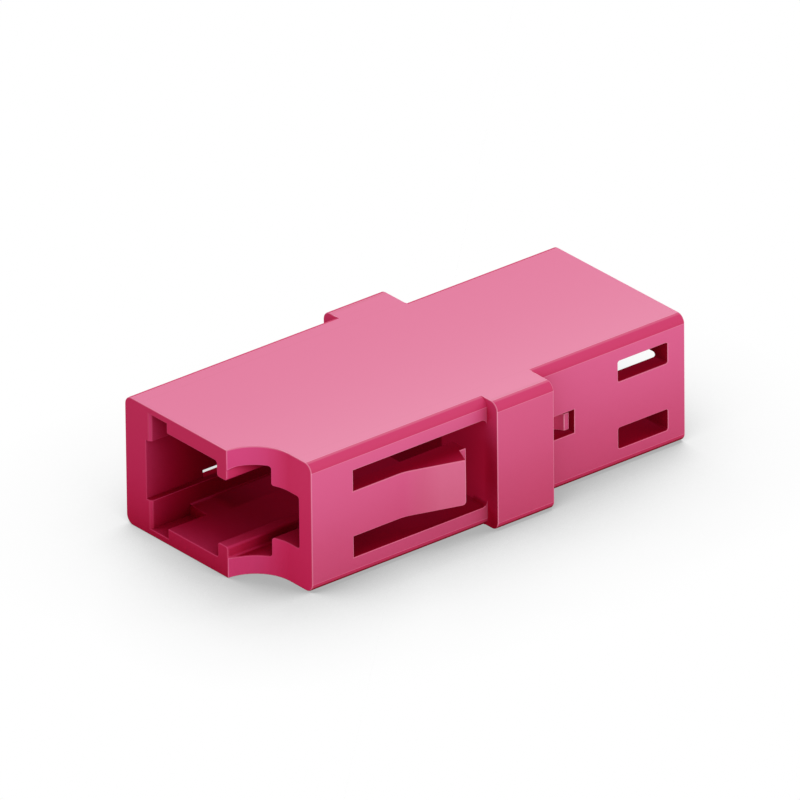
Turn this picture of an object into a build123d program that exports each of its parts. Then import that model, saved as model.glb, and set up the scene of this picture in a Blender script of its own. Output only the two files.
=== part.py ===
from build123d import *
import os
from math import atan, degrees

# Single-port fibre optic adapter for small latching plugs, lying on its wide side.
# X runs along the plugging direction with the front port at -X, and Z is up.
# The origin is under the middle of the body, on the surface that it rests on.

# Outer body, mm
body_length = 23.3
body_height = 6.2
front_width = 10.48
rear_step_left = 0.87
rear_step_right = 0.58
edge_radius = 0.43

# Panel ears
ear_front = 11.65
ear_length = 3.18
ear_reach = 0.7

# Set-back of the latch side of the front face; its flat part starts this far from the left wall
set_back = 1.85
set_back_radius = 1.95
set_back_flat = 8.93

# Plug channel and the stepped latch channel beside it
channel_left = 1.72
channel_width = 4.58
channel_height = 4.64
neck_width = 0.66
neck_height = 3.2
wing_width = 1.04
wing_height = 4.36
thumb_height = 2.5
wall_right = 0.88
profile_radius = 0.13

# Front mouth: corner pocket, and the groove along the left panel latch
mouth_depth = 2.16
pocket_width = 1.15
pocket_height = 5.6
pocket_chamfer = 0.12
groove_height = 2.86
groove_depth = 0.31

# Partition in the middle and the tubes that hold the alignment sleeve
partition_thickness = 1.2
tube_diameter = 2.7
tube_lip = 0.4
tube_lip_bore = 1.4
tube_mouth = 1.9
sleeve_length = 6.8
sleeve_diameter = 1.62
sleeve_bore = 1.25
sleeve_slit = 0.22
sleeve_play = 0.06
sleeve_end_play = 0.1

# Panel latches: tongues cut free in both narrow walls
latch_height = 2.2
latch_slot_height = 1.0
latch_start_right = 4.18
latch_start_left = 3.15
latch_end = 10.47
latch_corner_radius = 0.3
wedge_start = 7.0
wedge_tip = 9.75
wedge_foot = 10.12
wedge_reach = 0.87
wedge_blend = 2.0
wedge_corner_radius = 0.18

# Windows in the rear half
window_height = 1.0
window_length = 2.8
window_from_end = 0.98
window_spacing = 3.26
window_drop = 0.05
window_corner_radius = 0.1
snap_window_length = 1.65
snap_window_height = 1.12
snap_window_end = 17.03

# Sleeve retainer, pushed in from the rear port
retainer_play = 0.06
retainer_plate = 1.2
retainer_arm = 0.5
retainer_arm_height = 1.6
snap_height = 0.82
snap_sink = 0.19
snap_flat = 0.27
snap_ramp = 0.9
snap_ramp_radius = 1.4
snap_gap = 0.15

# Places worked out from the sizes above, as distances from the front face or the left wall
middle = body_height / 2
left_y = front_width / 2
right_y = -left_y
rear_right = front_width - rear_step_right
ear_rear = ear_front + ear_length
partition_front = ear_front
partition_rear = partition_front + partition_thickness
neck_left = channel_left + channel_width
wing_left = neck_left + neck_width
thumb_left = wing_left + wing_width
wing_middle = wing_left + wing_width / 2
front_thumb_right = front_width - wall_right
rear_thumb_right = rear_right - wall_right
latch_cut_height = latch_height + 2 * latch_slot_height
axis_from_left = channel_left + channel_width / 2
sleeve_middle = body_length / 2
tube_reach = sleeve_length / 2 + sleeve_end_play + tube_lip
sleeve_seat = sleeve_length / 2 + sleeve_end_play
seat_diameter = sleeve_diameter + 2 * sleeve_play
funnel_taper = degrees(atan((tube_mouth - tube_lip_bore) / (2 * tube_lip)))
arc_centre_ahead = set_back_radius - set_back
set_back_start = set_back_flat - (set_back_radius**2 - arc_centre_ahead**2) ** 0.5


def along(distance):
    """X of a point that lies the given distance behind the front face."""
    return distance - body_length / 2


def across(distance):
    """Y of a point that lies the given distance in from the front part's left wall."""
    return left_y - distance


def cross_plane(distance):
    """Plane across the body at a distance behind the front face: local x is Y, local y is height."""
    return Plane(origin=(along(distance), 0, middle), x_dir=(0, 1, 0), z_dir=(1, 0, 0))


def side_plane(y):
    """Plane along the body that faces the right side: local x is X, local y is height."""
    return Plane(origin=(0, y, middle), x_dir=(1, 0, 0), z_dir=(0, -1, 0))


def port_section(distance, thumb_right, play=0.0):
    """Section of a port: plug channel, neck, wing slot and thumb channel, alike above and below."""
    with BuildSketch(cross_plane(distance)) as section:
        with BuildLine():
            upper = Polyline(
                (across(channel_left), channel_height / 2),
                (across(neck_left), channel_height / 2),
                (across(neck_left), neck_height / 2),
                (across(wing_left), neck_height / 2),
                (across(wing_left), wing_height / 2),
                (across(thumb_left), wing_height / 2),
                (across(thumb_left), thumb_height / 2),
                (across(thumb_right), thumb_height / 2),
            )
            lower = mirror(upper, about=Plane.XZ)
            Line(upper @ 0, lower @ 0)
            Line(upper @ 1, lower @ 1)
        make_face()
        fillet(section.vertices(), radius=profile_radius)
        if play:
            offset(amount=-play, mode=Mode.REPLACE)
    return section.sketch


def span_section(distance, first, last, height):
    """Rectangle across the body between two distances from the left wall, centred in height."""
    with BuildSketch(cross_plane(distance)) as section:
        with Locations((across((first + last) / 2), 0)):
            Rectangle(last - first, height)
    return section.sketch


def axis_circle(distance, diameter):
    """Circle about the fibre axis, across the body."""
    with BuildSketch(cross_plane(distance)) as section:
        with Locations((across(axis_from_left), 0)):
            Circle(diameter / 2)
    return section.sketch


def latch_cut(y, start):
    """U-shaped outline that frees a panel latch, as seen from the right side."""
    with BuildSketch(side_plane(y)) as section:
        with Locations((along((start + ear_front) / 2), 0)):
            Rectangle(ear_front - start, latch_cut_height)
        far_corners = section.vertices().sort_by(Axis.X)[-2:]
        fillet(far_corners, radius=latch_corner_radius)
        with Locations((along((start + latch_end) / 2), 0)):
            Rectangle(latch_end - start, latch_height, mode=Mode.SUBTRACT)
    return section.sketch


def wedge_plan(side):
    """Plan of the wedge on a panel latch; side is 1 on the left wall and -1 on the right wall."""
    wall = side * left_y
    inside = side * (left_y - wall_right / 2)
    with BuildSketch(Plane.XY.offset(middle - latch_height / 2)) as section:
        with BuildLine():
            Polyline(
                (along(wedge_start), inside),
                (along(wedge_start), wall),
                (along(wedge_tip), wall + side * wedge_reach),
                (along(wedge_foot), wall),
                (along(wedge_foot), inside),
                close=True,
            )
        make_face()
    return section.sketch


# Housing: one moulding with both ports, panel ears, panel latches and the front sleeve tube
with BuildPart() as housing:
    # Outer shape from its plan view, with the hollow set-back at the front right
    with BuildSketch():
        with BuildLine():
            sides = Polyline(
                (along(0), across(set_back_start)),
                (along(0), left_y),
                (along(ear_front), left_y),
                (along(ear_front), left_y + ear_reach),
                (along(ear_rear), left_y + ear_reach),
                (along(ear_rear), across(rear_step_left)),
                (along(body_length), across(rear_step_left)),
                (along(body_length), across(rear_right)),
                (along(ear_rear), across(rear_right)),
                (along(ear_rear), right_y - ear_reach),
                (along(ear_front), right_y - ear_reach),
                (along(ear_front), right_y),
                (along(set_back), right_y),
                (along(set_back), across(set_back_flat)),
            )
            RadiusArc(sides @ 1, sides @ 0, -set_back_radius)
        make_face()
    extrude(amount=body_height)
    fillet(housing.edges().filter_by(Axis.X), radius=edge_radius)

    # Front port as far as the partition, with its mouth pocket and latch groove
    extrude(port_section(0, front_thumb_right), amount=partition_front, mode=Mode.SUBTRACT)
    extrude(
        span_section(0, channel_left, channel_left + pocket_width, pocket_height),
        amount=mouth_depth,
        mode=Mode.SUBTRACT,
    )
    extrude(
        span_section(0, channel_left - groove_depth, channel_left, groove_height),
        amount=partition_front,
        mode=Mode.SUBTRACT,
    )
    for side in (1, -1):
        edge_height = middle + side * (pocket_height + groove_height) / 4
        edge_point = (along(0), across(channel_left), edge_height)
        chamfer(housing.edges().sort_by_distance(edge_point)[0], length=pocket_chamfer)

    # Rear port as far as the partition
    extrude(
        port_section(partition_rear, rear_thumb_right),
        amount=body_length - partition_rear,
        mode=Mode.SUBTRACT,
    )

    # Front sleeve tube on the partition
    extrude(
        axis_circle(sleeve_middle - tube_reach, tube_diameter),
        amount=partition_front - sleeve_middle + tube_reach,
    )
    extrude(
        axis_circle(sleeve_middle - sleeve_seat, seat_diameter),
        amount=partition_rear - sleeve_middle + sleeve_seat,
        mode=Mode.SUBTRACT,
    )
    extrude(
        axis_circle(sleeve_middle - tube_reach, tube_mouth),
        amount=tube_lip,
        taper=funnel_taper,
        mode=Mode.SUBTRACT,
    )

    # Panel latches: cut-outs into the thumb channel and into the groove, and the pockets
    # between the slots on the right and the wing slot
    extrude(
        latch_cut(across(front_thumb_right), latch_start_right),
        amount=wall_right,
        mode=Mode.SUBTRACT,
    )
    extrude(
        latch_cut(left_y, latch_start_left),
        amount=channel_left - groove_depth,
        mode=Mode.SUBTRACT,
    )
    with BuildSketch(side_plane(across(wing_middle))):
        with Locations((along((latch_start_right + partition_front) / 2), 0)):
            with GridLocations(1, latch_height + latch_slot_height, 1, 2):
                Rectangle(partition_front - latch_start_right, latch_slot_height)
    extrude(amount=front_thumb_right - wing_middle, mode=Mode.SUBTRACT)
    for side in (1, -1):
        extrude(wedge_plan(side), amount=latch_height)
        wedge_start_point = (along(wedge_start), side * left_y, middle)
        wedge_start_edge = housing.edges().filter_by(Axis.Z).sort_by_distance(wedge_start_point)[0]
        fillet(wedge_start_edge, radius=wedge_blend)
        wedge_corner = (
            along((wedge_tip + wedge_foot) / 2),
            side * (left_y + wedge_reach / 2),
            middle - latch_height / 2,
        )
        fillet(housing.edges().sort_by_distance(wedge_corner)[0], radius=wedge_corner_radius)

    # Latch windows near the rear face and the snap window behind the ear
    with BuildSketch(side_plane(across(wing_middle))):
        with Locations((along(body_length - window_from_end - window_length / 2), -window_drop)):
            with GridLocations(1, window_spacing, 1, 2):
                RectangleRounded(window_length, window_height, window_corner_radius)
    extrude(amount=rear_right - wing_middle, mode=Mode.SUBTRACT)
    with BuildSketch(side_plane(across(rear_thumb_right))):
        with Locations((along(snap_window_end - snap_window_length / 2), 0)):
            Rectangle(snap_window_length, snap_window_height)
    extrude(amount=wall_right, mode=Mode.SUBTRACT)

# Sleeve retainer: plate that fills the rear port's section, rear sleeve tube and snap arm
with BuildPart() as retainer:
    plate_rear = partition_rear + retainer_plate
    arm_outer = rear_thumb_right - retainer_play
    arm_end = snap_window_end - snap_gap
    snap_outer = rear_right - snap_sink
    extrude(port_section(partition_rear, rear_thumb_right, retainer_play), amount=retainer_plate)
    extrude(
        axis_circle(plate_rear, tube_diameter),
        amount=sleeve_middle + tube_reach - plate_rear,
    )
    extrude(
        span_section(plate_rear, arm_outer - retainer_arm, arm_outer, retainer_arm_height),
        amount=arm_end - plate_rear,
    )
    with BuildSketch(Plane.XY.offset(middle - snap_height / 2)):
        with BuildLine():
            lug = Polyline(
                (along(arm_end - snap_flat), across(snap_outer)),
                (along(arm_end), across(snap_outer)),
                (along(arm_end), across(arm_outer)),
                (along(arm_end - snap_flat - snap_ramp), across(arm_outer)),
            )
            RadiusArc(lug @ 1, lug @ 0, snap_ramp_radius)
        make_face()
    extrude(amount=snap_height)
    extrude(
        axis_circle(partition_rear, seat_diameter),
        amount=sleeve_middle + sleeve_seat - partition_rear,
        mode=Mode.SUBTRACT,
    )
    extrude(
        axis_circle(sleeve_middle + sleeve_seat, tube_lip_bore),
        amount=tube_lip,
        taper=-funnel_taper,
        mode=Mode.SUBTRACT,
    )

# Alignment sleeve: split ceramic tube that both plug ferrules slide into
with BuildPart() as sleeve:
    sleeve_front = sleeve_middle - sleeve_length / 2
    extrude(axis_circle(sleeve_front, sleeve_diameter), amount=sleeve_length)
    extrude(axis_circle(sleeve_front, sleeve_bore), amount=sleeve_length, mode=Mode.SUBTRACT)
    with BuildSketch(cross_plane(sleeve_front)):
        with Locations((across(axis_from_left), sleeve_diameter / 2)):
            Rectangle(sleeve_slit, sleeve_diameter)
    extrude(amount=sleeve_length, mode=Mode.SUBTRACT)

housing.part.label = "housing"
retainer.part.label = "sleeve_retainer"
sleeve.part.label = "alignment_sleeve"

os.makedirs("parts", exist_ok=True)
export_step(housing.part, "parts/housing.step")
export_step(retainer.part, "parts/sleeve_retainer.step")
export_step(sleeve.part, "parts/alignment_sleeve.step")
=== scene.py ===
import math

import bmesh
import bpy
from mathutils import Matrix, Vector


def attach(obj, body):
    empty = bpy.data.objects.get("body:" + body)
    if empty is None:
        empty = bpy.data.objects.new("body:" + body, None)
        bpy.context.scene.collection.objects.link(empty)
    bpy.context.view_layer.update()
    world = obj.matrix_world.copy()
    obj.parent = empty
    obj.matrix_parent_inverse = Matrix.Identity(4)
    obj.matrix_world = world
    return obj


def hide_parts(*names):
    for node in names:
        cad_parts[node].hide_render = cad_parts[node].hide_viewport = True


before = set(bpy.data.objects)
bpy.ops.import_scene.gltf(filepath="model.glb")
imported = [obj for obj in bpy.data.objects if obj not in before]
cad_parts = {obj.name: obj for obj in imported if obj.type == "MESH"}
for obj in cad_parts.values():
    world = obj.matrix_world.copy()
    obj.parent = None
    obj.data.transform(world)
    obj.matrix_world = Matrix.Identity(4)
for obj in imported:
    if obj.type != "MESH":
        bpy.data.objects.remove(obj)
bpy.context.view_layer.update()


# The view. The adapter lies on its wide side and is seen from its front right corner, a little
# from above, through a long lens that keeps its edges almost parallel.
view_turn = math.radians(-39.11)
view_rise = math.radians(27.057)
view_roll = math.radians(-0.617)
view_distance = 1.0
view_aim = Vector((0.000119, 0.000847, 0.003736))
view_lens = 1036.08

camera_data = bpy.data.cameras.new("view")
camera_data.sensor_width = 36.0
camera_data.lens = view_lens
camera_data.clip_start = 0.01
camera_data.clip_end = 10.0
camera = bpy.data.objects.new("view", camera_data)
bpy.context.scene.collection.objects.link(camera)
view_turned = (
    Matrix.Rotation(view_turn, 4, "Z")
    @ Matrix.Rotation(math.pi / 2 - view_rise, 4, "X")
    @ Matrix.Rotation(view_roll, 4, "Z")
)
towards_camera = (view_turned @ Vector((0, 0, 1, 0))).to_3d()
camera.matrix_world = Matrix.Translation(view_aim + view_distance * towards_camera) @ view_turned
bpy.context.scene.camera = camera
bpy.context.scene.view_settings.view_transform = "Standard"


# The housing is one injection moulding in magenta plastic with a fine satin surface. Its edges
# are broken by the wear of the mould, and the two panel latches are tongues of the same wall.
class Value:
    """A socket of a node tree that takes part in sums, so that masks read as plain expressions."""

    def __init__(self, tree, socket):
        self.tree = tree
        self.socket = socket

    def math(self, operation, *others):
        node = self.tree.nodes.new("ShaderNodeMath")
        node.operation = operation
        for place, item in enumerate((self,) + others):
            if isinstance(item, Value):
                self.tree.links.new(item.socket, node.inputs[place])
            else:
                node.inputs[place].default_value = item
        return Value(self.tree, node.outputs[0])

    def at_least(self, other):
        return self.math("MAXIMUM", other)

    def rise(self, low, high):
        """0 below the first value and 1 above the second."""
        spread = ((self - low) * (1.0 / (high - low))).at_least(0.0)
        return spread.math("MINIMUM", 1.0)

    def fall(self, low, high):
        """1 below the first value and 0 above the second."""
        return 1 - self.rise(low, high)

    def band(self, rise_from, rise_to, fall_from, fall_to):
        """1 between the two middle values and 0 outside the other two."""
        return self.rise(rise_from, rise_to) * self.fall(fall_from, fall_to)

    def __abs__(self):
        return self.math("ABSOLUTE")

    def __neg__(self):
        return self * -1.0

    def __add__(self, other):
        return self.math("ADD", other)

    def __sub__(self, other):
        return self.math("SUBTRACT", other)

    def __mul__(self, other):
        return self.math("MULTIPLY", other)

    def __truediv__(self, other):
        return self.math("DIVIDE", other)

    def __rsub__(self, other):
        return -self + other

    def __rtruediv__(self, other):
        return self.math("POWER", -1.0) * other

    __radd__ = __add__
    __rmul__ = __mul__


class Nodes:
    """A node tree, emptied, whose nodes are all made by one method."""

    def __init__(self, tree):
        self.tree = tree
        tree.nodes.clear()

    def node(self, kind, settings=None, stops=None, output=0, **inputs):
        node = self.tree.nodes.new(kind)
        for name, setting in (settings or {}).items():
            setattr(node, name, setting)
        if stops:
            while len(node.color_ramp.elements) < len(stops):
                node.color_ramp.elements.new(1.0)
            for element, (position, colour) in zip(node.color_ramp.elements, stops):
                element.position = position
                element.color = colour
        for name, item in inputs.items():
            socket = self.socket(node, name)
            if isinstance(item, Value):
                self.tree.links.new(item.socket, socket)
            else:
                socket.default_value = item
        return Value(self.tree, node.outputs[output]) if node.outputs else None

    def socket(self, node, name):
        """An input by its name in small letters, or by its place as n0, n1 and so on."""
        if name[0] == "n" and name[1:].isdigit():
            return node.inputs[int(name[1:])]
        for socket in node.inputs:
            if socket.enabled and socket.name.lower().replace(" ", "_") == name:
                return socket
        raise KeyError(f"{node.bl_idname} has no input {name}")

    def parts(self, vector):
        """The three numbers of a vector."""
        split = self.node("ShaderNodeSeparateXYZ", vector=vector).socket.node
        return [Value(self.tree, output) for output in split.outputs]

    def mixed(self, share, under, over, blend="MIX"):
        """One colour laid over another by a share."""
        return self.node(
            "ShaderNodeMix",
            {"data_type": "RGBA", "blend_type": blend},
            n0=share,
            n6=under,
            n7=over,
            output=2,
        )

    def direct_ray(self):
        """1 for rays of the camera and for those it sends on by a reflection or through glass."""
        camera = self.node("ShaderNodeLightPath", output="Is Camera Ray")
        glossy = self.node("ShaderNodeLightPath", output="Is Glossy Ray")
        through = self.node("ShaderNodeLightPath", output="Is Transmission Ray")
        return camera.at_least(glossy).at_least(through)


def new_finish(name):
    """A material and its emptied node tree."""
    material = bpy.data.materials.new(name)
    material.use_nodes = True
    return material, Nodes(material.node_tree)


# Colours of the plastic, some painted light and shade, and the tint that paints shade where tone
# is low
black = (0.0, 0.0, 0.0, 1.0)
# Eroded flats: paler partly by their satin finish and partly by painted sheen
eroded_sheen_colour = (0.71, 0.072, 0.235, 1.0)
radius_colour = (0.66, 0.045, 0.160, 1.0)
# Shaded end colour: painted shade on the faces that look along the channel, which the lamps light
# less
shaded_end_colour = (0.54, 0.018, 0.090, 1.0)
# Highlight colour: painted highlights on the broken edges, rims, near top and wedges
highlight_colour = (1.0, 0.44, 0.60, 1.0)
# Shaded colour: painted shade under the radii and where the eroded faces are enclosed
shaded_colour = (0.50, 0.072, 0.125, 1.0)
# Glow colour: a painted glow inside, standing in for light through the thin walls
glow_colour = (0.12, 0.002, 0.011, 1.0)
shade_tint = (
    (0.0, (0.20, 0.004, 0.02, 1.0)),
    (0.3, (0.55, 0.06, 0.14, 1.0)),
    (0.45, (0.66, 0.20, 0.30, 1.0)),
    (0.6, (0.88, 0.62, 0.68, 1.0)),
    (0.8, (0.97, 0.94, 0.95, 1.0)),
    (1.0, (1.0, 1.0, 1.0, 1.0)),
)

# Measures of the finish in metres, and the scales of its two patterns
middle_height = 0.0031
openness_reach = 0.006
witness_line = 0.0042
grain_depth = 0.000004
cloud_scale = 260.0
grain_scale = 14000.0

# Places on the moulding in metres, each with where its soft border begins and ends
outer_skin = (0.0029, 0.0030)
outer_edges = (0.0012, 0.0016)
beside_channel = (0.0020, 0.0022)
ear_faces = (0.0053, 0.0055)
ear_root = (0.0050, 0.0056)
mid_heights = (-0.0020, 0.0020)
across_top = (-0.0050, 0.0050)
witness_width = (0.00002, 0.00005)
latch_slots = (-0.0085, -0.0080, 0.0001, 0.0002)
rear_windows = (0.0033, 0.0034, 0.0114, 0.0115)
upper_slots = (0.0005, 0.0010)
wall_backs = (-0.0006, -0.0004)
wedge_from = (-0.0048, -0.0030)
lug_along = (0.0038, 0.0040, 0.0053, 0.0054)
lug_across = (0.0030, 0.0032)
lug_height = (0.00042, 0.00045)
mouth_side = (0.0030, 0.0033)
mouth_wall_from = (-0.0118, -0.0088)
mouth_floor_to = (-0.0100, -0.0085)
set_back_centre = (-0.01175, -0.00369)
set_back_arc = (0.00197, 0.00199)
set_back_to = (-0.0098, -0.0096)
set_back_side = (0.0034, 0.0036)
deep_from = (-0.0085, -0.0040)
deep_floor_from = (-0.0095, -0.0065)

# Turns of a face as parts of its normal, each with where its soft border begins and ends
end_turn = (0.7, 0.98)
jamb_turn = (0.7, 0.9)
wedge_turn = (0.1, 0.3)
top_turn = (0.9, 0.95)
floor_turn = (0.8, 0.9)
level_turn = (0.5, 0.9)
upright_turn = (0.3, 0.6)
underneath_turn = (0.1, 0.5)
unlit_turn = (0.3, 0.8)
radius_turn = (0.05, 0.10)
rim_turn = (0.01, 0.05)

# How much of another colour each place takes: painted shade, painted light and highlights, and the
# mould line
lug_light = 0.3
radius_side_shade = 0.5
underneath_shade = 0.8
ear_end_share = 0.25
witness_share = 0.06
set_back_light = 0.15
arc_light = 0.80
lower_set_back_shade = 0.5
edge_highlight = 0.04
outer_edge_highlight = 0.28
rim_highlight = 0.3
near_top_light = 0.14
wedge_highlight = 0.16

# Painted shade: how much tone the enclosed places lose, and the least that the open ones keep
slot_loss = 0.58
upper_slot_relief = 0.35
mouth_wall_loss = 0.6
mouth_floor_loss = 0.22
jamb_loss = 0.35
jamb_cover = 0.7
behind_slot_tone = 0.42
outer_tone = 0.75
lug_tone = 0.95
lower_set_back_tone = 0.78
upper_set_back_tone = 0.94
cloud_strength = 0.05
grain_strength = 0.03

# The painted glow inside the thin walls and the sheen of each kind of surface
deep_openness = (0.1, 0.5)
channel_glow = 0.5
floor_glow = 0.7
set_back_glow = 0.5
least_sheen = 0.15
outer_sheen = 0.20
eroded_sheen = 0.65
far_top_dullness = 0.12


def moulded_plastic(name):
    """Magenta plastic: eroded flats, polished radii and ends; painted shade where enclosed,
    painted light and glow.
    """
    material, finish = new_finish(name)
    place = finish.node("ShaderNodeTexCoord", output="Object")
    edge = finish.node("ShaderNodeAttribute", {"attribute_name": "broken_edge"}, output="Fac")
    openness = finish.node(
        "ShaderNodeAmbientOcclusion", {"samples": 16}, distance=openness_reach, output="AO"
    )
    cloud = finish.node(
        "ShaderNodeTexNoise", vector=place, scale=cloud_scale, detail=3.0, roughness=0.55
    )
    grain = finish.node(
        "ShaderNodeTexNoise", vector=place, scale=grain_scale, detail=2.0, roughness=0.6
    )

    # Which way the surface faces, and how far it lies from the middle along that way
    along, across, above_floor = finish.parts(place)
    height = above_floor - middle_height
    facing = finish.node("ShaderNodeTexCoord", output="Normal")
    facing_along, facing_across, facing_up = finish.parts(facing)
    upright = abs(facing_up).fall(*upright_turn)
    ends = abs(facing_along).rise(*end_turn)
    outward = across * facing_across
    from_axis = outward + height * facing_up
    right_side = -across
    higher = height.rise(*mid_heights)

    # The outer skin: flat faces, the long radii and the line that the mould leaves on the top
    outer = from_axis.rise(*outer_skin)
    roundness = abs(facing_across * facing_up)
    radius = outer * roundness.rise(*radius_turn)
    # The lug in its window takes some of the paler colour and a higher tone, as painted light
    lug = (
        outward.rise(*beside_channel)
        * right_side.rise(*lug_across)
        * abs(height).fall(*lug_height)
        * along.band(*lug_along)
    )
    eroded_and_lit_lug = (outer * roundness.fall(*radius_turn)).at_least(lug * lug_light)
    witness = eroded_and_lit_lug * facing_up * abs(abs(across) - witness_line).fall(*witness_width)
    on_ear = eroded_and_lit_lug * abs(across).rise(*ear_faces)
    # The undersides of the long radii, which take painted shade
    underneath = radius * (-facing_up).rise(*underneath_turn)

    # The slots beside the latches and the windows near the rear, and the walls that they show
    by_windows = along.band(*rear_windows)
    by_slots = (
        (along.band(*latch_slots) + by_windows) * abs(across).rise(*beside_channel) * (1 - outer)
    )
    in_upper_slot = height.rise(*upper_slots)
    in_slot = by_slots * abs(facing_up).rise(*level_turn) * (1 - in_upper_slot * upper_slot_relief)
    jamb = by_slots * by_windows * (-facing_along).rise(*jamb_turn)
    behind_slot = by_slots * upright * outward.rise(*wall_backs) * (1 - jamb * jamb_cover)
    ear_foot = abs(across).rise(*ear_root) * height.fall(*mid_heights)

    # The front mouth and the set-back with its arc
    mouth_wall = (-outward).rise(*mouth_side) * along.rise(*mouth_wall_from)
    floors = (1 - outer) * facing_up.rise(*floor_turn)
    mouth_floor = floors * along.fall(*mouth_floor_to)
    from_centre_along = along - set_back_centre[0]
    from_centre_across = across - set_back_centre[1]
    from_centre = from_centre_along * from_centre_along + from_centre_across * from_centre_across
    hollow = from_centre.math("SQRT").fall(*set_back_arc)
    shelf = along.fall(*set_back_to) * right_side.rise(*set_back_side)
    set_back = hollow.at_least(shelf) * upright * (1 - outer)

    # Painted highlights: light edges and rims, a paler near half of the top, and lighter wedges on
    # the latches
    rim = eroded_and_lit_lug * roundness.rise(*rim_turn)
    on_top = outer * facing_up.rise(*top_turn)
    near_side = across.fall(*across_top)
    on_wedge = eroded_and_lit_lug * abs(facing_along).rise(*wedge_turn) * along.rise(*wedge_from)
    painted_highlights = (
        edge * edge_highlight
        + edge * from_axis.rise(*outer_edges) * outer_edge_highlight
        + rim * rim_highlight
        + on_top * near_side * near_side * near_top_light
        + on_wedge * wedge_highlight
    )

    # Colour, from the polished plastic through painted shade and painted light to the painted
    # highlights
    # Painted shade: the faces that look along the channel take the shaded end colour
    base = finish.mixed(ends * (1 - behind_slot), radius_colour, shaded_end_colour)
    base = finish.mixed(eroded_and_lit_lug, base, eroded_sheen_colour)
    # Painted shade on the sideways-turned, lower parts of the long radii
    base = finish.mixed(radius * (1 - abs(facing_up)) * radius_side_shade, base, shaded_end_colour)
    base = finish.mixed(underneath * underneath_shade, base, shaded_colour)
    # The ear faces are darkened, and the mould line on the top is drawn in the same darker colour
    base = finish.mixed(on_ear * ear_end_share + witness * witness_share, base, shaded_end_colour)
    # Painted shade where the eroded faces are enclosed
    base = finish.mixed(eroded_and_lit_lug * (1 - openness), base, shaded_colour)
    # Painted light on the set-back: the arc facing the side takes the paler colour, with painted
    # shade lower down
    arc_lighting = abs(facing_across) * arc_light + set_back_light
    less_below = higher * (1 - lower_set_back_shade) + lower_set_back_shade
    base = finish.mixed(set_back * arc_lighting * less_below, base, eroded_sheen_colour)
    base = finish.mixed(painted_highlights, base, highlight_colour)

    # Tone: painted shade, lower where the plastic is enclosed, with the least that each open place
    # keeps
    tone = openness * (1 - in_slot * slot_loss) * (1 - mouth_wall * mouth_wall_loss)
    tone = tone * (1 - mouth_floor * mouth_floor_loss) * (1 - jamb * jamb_loss)
    tone = tone.at_least(behind_slot * (1 - ear_foot) * behind_slot_tone)
    tone = tone.at_least(outer * (-facing_up).fall(*unlit_turn) * outer_tone)
    # The lug keeps a higher tone, as painted light
    tone = tone.at_least(lug * lug_tone)
    # The set-back keeps more tone higher up, as painted light
    set_back_tone = higher * (upper_set_back_tone - lower_set_back_tone) + lower_set_back_tone
    tone = tone.at_least(set_back * set_back_tone)
    tone = tone + (cloud - 0.5) * cloud_strength + (grain - 0.5) * grain_strength
    painted_shade = finish.node("ShaderNodeValToRGB", stops=shade_tint, fac=tone)

    # Painted glow in the channels and at the set-back, standing in for light through the thin
    # walls
    inside = (1 - outer) * abs(across).fall(*ear_root)
    deep = openness.fall(*deep_openness) * (
        along.rise(*deep_from) * channel_glow + along.rise(*deep_floor_from) * floors * floor_glow
    )
    glow = deep.at_least(behind_slot) * (1 - openness) * inside + set_back * ends * set_back_glow

    # Sheen: the eroded faces carry most of it, and none shows where the plastic is enclosed
    sheen = eroded_and_lit_lug * eroded_sheen + outer * outer_sheen + least_sheen
    sheen = sheen - on_top * (1 - near_side) * far_top_dullness
    shader = finish.node(
        "ShaderNodeBsdfPrincipled",
        base_color=finish.mixed(1.0, base, painted_shade, "MULTIPLY"),
        roughness=0.5,
        normal=finish.node(
            "ShaderNodeBump", strength=0.25, distance=grain_depth, height=grain * eroded_and_lit_lug
        ),
        specular_ior_level=0.0,
        coat_weight=sheen * (1 - in_slot) * openness * openness,
        coat_roughness=0.45,
        coat_ior=1.6,
        emission_color=finish.mixed(glow, black, glow_colour),
        emission_strength=1.0,
    )
    finish.node("ShaderNodeOutputMaterial", surface=shader)
    return material


def applied(piece):
    """The piece's mesh with its modifiers worked in; they are then taken off."""
    view_layer = bpy.context.evaluated_depsgraph_get()
    mesh = bpy.data.meshes.new_from_object(
        piece.evaluated_get(view_layer), preserve_all_data_layers=True, depsgraph=view_layer
    )
    piece.modifiers.clear()
    return mesh


# Sizes of the broken edges, in millimetres, and the angles that tell the kinds of face apart
mm_per_metre = 1000.0
merge_distance = 0.001
housing_break = 0.045
cusp_reach = 0.25
cusp_reach_play = 0.0125
cusp_angle = math.radians(10)
flat_angle = math.radians(0.6)
sharp_angle = math.radians(32)
smooth_angle = math.radians(50)
flat_kind, curved_kind, broken_kind = 0, 1, 2


def shade_by_kind(mesh):
    """Flat faces are shaded flat; curved ones and broken edges run smoothly into them."""
    kind = []
    for face, curved in zip(mesh.polygons, mesh.attributes["curved"].data):
        own_kind = curved_kind if curved.value else flat_kind
        kind.append(broken_kind if face.material_index else own_kind)
    around = [[] for _ in mesh.vertices]
    for face in mesh.polygons:
        for vertex in face.vertices:
            around[vertex].append(face)
    normals = []
    for face in mesh.polygons:
        for vertex in face.vertices:
            near = [
                other
                for other in around[vertex]
                if other.normal.angle(face.normal, math.pi) < smooth_angle
            ] or [face]
            plainest = min(kind[other.index] for other in near)
            alike = [other for other in near if kind[other.index] == plainest]
            if plainest == flat_kind:
                nearest = max(alike, key=lambda other: other.normal.dot(face.normal))
                normals.append(nearest.normal.copy())
            else:
                total = sum((other.normal for other in alike), Vector())
                normals.append(total.normalized())
    mesh.normals_split_custom_set(normals)


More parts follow.
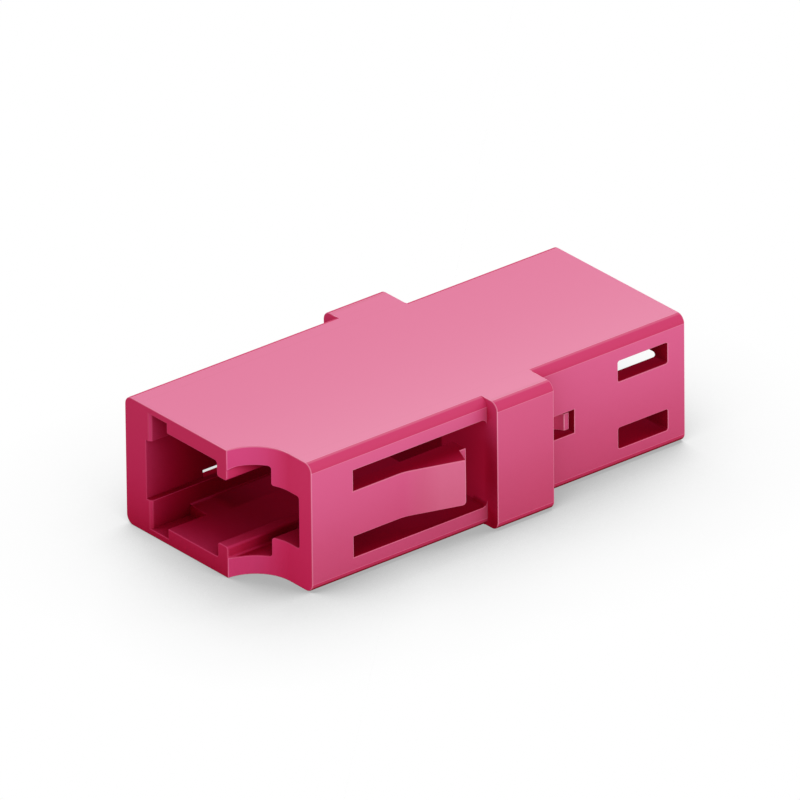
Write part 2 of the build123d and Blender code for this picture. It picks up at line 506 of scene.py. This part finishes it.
def mark_curved_faces(mesh):
    """Notes each face whose corners the CAD model shades as part of a curve."""
    curved = mesh.attributes.new("curved", "FLOAT", "FACE").data
    for face in mesh.polygons:
        bend = max(
            mesh.corner_normals[corner].vector.angle(face.normal, 0.0)
            for corner in face.loop_indices
        )
        curved[face.index].value = float(bend > flat_angle)
    mesh.attributes.remove(mesh.attributes["custom_normal"])


def weigh_sharp_edges(mesh):
    """Merges the loose triangles into faces and marks the outer edges that the bevel rounds."""
    work = bmesh.new()
    work.from_mesh(mesh)
    rounded = work.edges.layers.float.new("bevel_weight_edge")
    bmesh.ops.remove_doubles(work, verts=work.verts, dist=merge_distance)
    bmesh.ops.dissolve_limit(work, angle_limit=flat_angle, verts=work.verts, edges=work.edges)
    sharp = {edge for edge in work.edges if edge.calc_face_angle() > sharp_angle}

    # Where two sharp edges of a face run together in a cusp, the radius stops just short of it.
    cusps = set()
    for face in work.faces:
        for loop in face.loops:
            ahead = loop.link_loop_next.vert.co - loop.vert.co
            behind = loop.link_loop_prev.vert.co - loop.vert.co
            both_sharp = loop.edge in sharp and loop.link_loop_prev.edge in sharp
            if both_sharp and loop.is_convex and ahead.angle(behind) < cusp_angle:
                cusps.add(loop.vert)
    for cusp in cusps:
        for edge in list(cusp.link_edges):
            length = edge.calc_length()
            if edge in sharp and length > 2 * cusp_reach:
                sharp.discard(edge)
                far_end = edge.other_vert(cusp)
                corner = bmesh.utils.edge_split(edge, cusp, cusp_reach / length)[1]
                sharp.update(part for part in corner.link_edges if far_end in part.verts)
    places = [cusp.co for cusp in cusps]
    just_past = cusp_reach + cusp_reach_play
    for edge in sharp:
        at_cusp = all(
            any((end.co - place).length < just_past for place in places) for end in edge.verts
        )
        edge[rounded] = float(edge.is_convex and not at_cusp)
    work.to_mesh(mesh)
    work.free()


def softened(node, material, break_width, name):
    """A copy of a CAD piece whose outer edges have a small radius, worked on in millimetres."""
    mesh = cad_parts[node].data.copy()
    mesh.name = name
    mesh.transform(Matrix.Scale(mm_per_metre, 4))
    mark_curved_faces(mesh)
    weigh_sharp_edges(mesh)

    # The rounded edges come out of the bevel in the second material slot, which tells them apart.
    mesh.materials.clear()
    mesh.materials.append(material)
    mesh.materials.append(material)
    piece = bpy.data.objects.new(name, mesh)
    bpy.context.scene.collection.objects.link(piece)
    edges = piece.modifiers.new("broken_edges", "BEVEL")
    edges.width = break_width
    edges.segments = 2
    edges.limit_method = "WEIGHT"
    edges.use_clamp_overlap = False
    edges.loop_slide = False
    edges.material = 1
    mesh = applied(piece)
    mesh.shade_smooth()
    shade_by_kind(mesh)
    mark = mesh.attributes.new("broken_edge", "FLOAT", "FACE").data
    for face in mesh.polygons:
        mark[face.index].value = float(face.material_index)
        face.material_index = 0
    mesh.materials.pop(index=1)
    mesh.attributes.remove(mesh.attributes["curved"])
    mesh.transform(Matrix.Scale(1.0 / mm_per_metre, 4))
    piece.data = mesh
    return piece


plastic = moulded_plastic("magenta_plastic")
housing = softened("housing", plastic, housing_break, "housing_moulding")
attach(housing, "root")
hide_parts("housing")


# The sleeve retainer is a second moulding in the same plastic, pushed in from the rear port until
# the lug on its arm snaps into the small window behind the ear.
retainer_break = 0.03
retainer = softened("sleeve_retainer", plastic, retainer_break, "sleeve_retainer_moulding")
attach(retainer, "root")
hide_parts("sleeve_retainer")


# The alignment sleeve is a tube of polished zirconia, off-white and slightly glossy, slit along
# its top. It floats between the two tubes, and the slit lets it grip both ferrules.
sleeve_sizes = {
    "Outer diameter": 0.00162,
    "Bore": 0.00125,
    "Slit": 0.00022,
    "Length": 0.0068,
    "Height of axis": 0.0031,
    "Axis across": 0.00123,
}
sleeve_steps = 73
sleeve_corner_angle = 0.6
ivory = (0.83, 0.80, 0.74, 1.0)
pale_ivory = (0.88, 0.86, 0.81, 1.0)
polish_pattern_scale = 900.0
least_roughness = 0.16
roughness_spread = 0.08

zirconia, polish = new_finish("polished_zirconia")
cloudiness = polish.node(
    "ShaderNodeTexNoise",
    vector=polish.node("ShaderNodeTexCoord", output="Object"),
    scale=polish_pattern_scale,
    detail=2.0,
)
ceramic = polish.node(
    "ShaderNodeBsdfPrincipled",
    base_color=polish.mixed(cloudiness, ivory, pale_ivory),
    roughness=cloudiness * roughness_spread + least_roughness,
)
polish.node("ShaderNodeOutputMaterial", surface=ceramic)

# A wall section swept around the axis as an open arc, then laid along the plugging direction
sleeve_tree = bpy.data.node_groups.new("split_sleeve", "GeometryNodeTree")
sleeve_sockets = {
    name: sleeve_tree.interface.new_socket(name, in_out="INPUT", socket_type="NodeSocketFloat")
    for name in sleeve_sizes
}
sleeve_tree.interface.new_socket("Sleeve", in_out="OUTPUT", socket_type="NodeSocketGeometry")
tube = Nodes(sleeve_tree)
outer_diameter, bore, slit, length, axis_height, axis_across = (
    tube.node("NodeGroupInput", output=name) for name in sleeve_sizes
)
mean_radius = (outer_diameter + bore) / 4.0
half_slit = (slit / 2.0 / mean_radius).math("ARCSINE")
ring = tube.node(
    "GeometryNodeCurveArc",
    {"mode": "RADIUS"},
    resolution=sleeve_steps,
    radius=mean_radius,
    start_angle=half_slit + math.pi / 2,
    sweep_angle=2 * math.pi - 2 * half_slit,
)
wall = tube.node(
    "GeometryNodeCurvePrimitiveQuadrilateral", width=(outer_diameter - bore) / 2.0, height=length
)
swept = tube.node("GeometryNodeCurveToMesh", curve=ring, profile_curve=wall, fill_caps=True)
swept = tube.node(
    "GeometryNodeSetShadeSmooth", {"domain": "FACE"}, geometry=swept, shade_smooth=True
)
corners = tube.node("GeometryNodeInputMeshEdgeAngle").math("GREATER_THAN", sleeve_corner_angle)
swept = tube.node(
    "GeometryNodeSetShadeSmooth",
    {"domain": "EDGE"},
    geometry=swept,
    selection=corners,
    shade_smooth=False,
)
laid = tube.node(
    "GeometryNodeTransform",
    geometry=swept,
    translation=tube.node("ShaderNodeCombineXYZ", y=axis_across, z=axis_height),
    rotation=(math.pi / 2, 0.0, math.pi / 2),
)
laid = tube.node("GeometryNodeRealizeInstances", geometry=laid)
laid = tube.node("GeometryNodeSetMaterial", geometry=laid, material=zirconia)
tube.node("NodeGroupOutput", sleeve=laid)

sleeve = bpy.data.objects.new("alignment_sleeve_tube", bpy.data.meshes.new("split_tube"))
bpy.context.scene.collection.objects.link(sleeve)
sleeve_making = sleeve.modifiers.new("split_sleeve", "NODES")
sleeve_making.node_group = sleeve_tree
for name, size in sleeve_sizes.items():
    sleeve_making[sleeve_sockets[name].identifier] = size
sleeve.data = applied(sleeve)
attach(sleeve, "root")
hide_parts("alignment_sleeve")


# The studio: a white sheet under the adapter, an even white room, a broad lamp on the latch side
# and a second one behind, which puts the sheen on the top.
white = (1.0, 1.0, 1.0, 1.0)
sheet_white = (0.9, 0.9, 0.9, 1.0)
sheet_half_width = 1.5
sheet_openness_reach = 0.010
shadow_centre = (-0.0125, -0.0050)
shadow_reach = (0.0015, 0.0075)
shadow_share = 0.13
sheet_greys = (
    (0.40, (0.42, 0.42, 0.42, 1.0)),
    (0.52, (0.59, 0.59, 0.59, 1.0)),
    (0.71, (0.83, 0.83, 0.83, 1.0)),
    (0.86, (0.955, 0.955, 0.955, 1.0)),
    (1.0, white),
)
room_strength = 0.8

sheet_mesh = bpy.data.meshes.new("sheet")
sheet_work = bmesh.new()
bmesh.ops.create_grid(sheet_work, x_segments=1, y_segments=1, size=sheet_half_width)
sheet_work.to_mesh(sheet_mesh)
sheet_work.free()
sheet = bpy.data.objects.new("sheet", sheet_mesh)
bpy.context.scene.collection.objects.link(sheet)

# The sheet shows its contact shadow and, in front of the port, a wider soft one.
white_sheet, paper = new_finish("white_sheet")
sheet_openness = paper.node(
    "ShaderNodeAmbientOcclusion", {"samples": 16}, distance=sheet_openness_reach, output="AO"
)
sheet_along, sheet_across, _ = paper.parts(paper.node("ShaderNodeTexCoord", output="Object"))
past_along = sheet_along - shadow_centre[0]
past_across = sheet_across - shadow_centre[1]
from_shadow = (past_along * past_along + past_across * past_across).math("SQRT")
sheet_shade = paper.node(
    "ShaderNodeValToRGB",
    stops=sheet_greys,
    fac=sheet_openness - from_shadow.fall(*shadow_reach) * shadow_share,
)
sheet_matt = paper.node("ShaderNodeBsdfDiffuse", color=sheet_white)
sheet_seen = paper.node("ShaderNodeEmission", color=sheet_shade, strength=1.0)
sheet_shader = paper.node(
    "ShaderNodeMixShader", n0=paper.direct_ray(), n1=sheet_matt, n2=sheet_seen
)
paper.node("ShaderNodeOutputMaterial", surface=sheet_shader)
sheet_mesh.materials.append(white_sheet)

world = bpy.data.worlds.new("room")
bpy.context.scene.world = world
world.use_nodes = True
room = Nodes(world.node_tree)
room_light = room.node("ShaderNodeBackground", color=white, strength=room_strength)
room_seen = room.node("ShaderNodeBackground", color=white, strength=1.0)
room_shader = room.node("ShaderNodeMixShader", n0=room.direct_ray(), n1=room_light, n2=room_seen)
room.node("ShaderNodeOutputWorld", surface=room_shader)


def lamp(name, direction, distance, side, watts):
    """A square soft lamp that shines on the middle of the adapter."""
    data = bpy.data.lights.new(name, "AREA")
    data.shape = "SQUARE"
    data.size = side
    data.energy = watts
    light = bpy.data.objects.new(name, data)
    bpy.context.scene.collection.objects.link(light)
    away = Vector(direction).normalized()
    light.rotation_euler = away.to_track_quat("Z", "Y").to_euler()
    light.location = view_aim + distance * away


lamp("side_lamp", direction=(0.10, -0.95, 0.40), distance=0.35, side=0.25, watts=0.24)
lamp("rear_lamp", direction=(0.56, 0.69, 0.50), distance=0.35, side=0.20, watts=0.18)
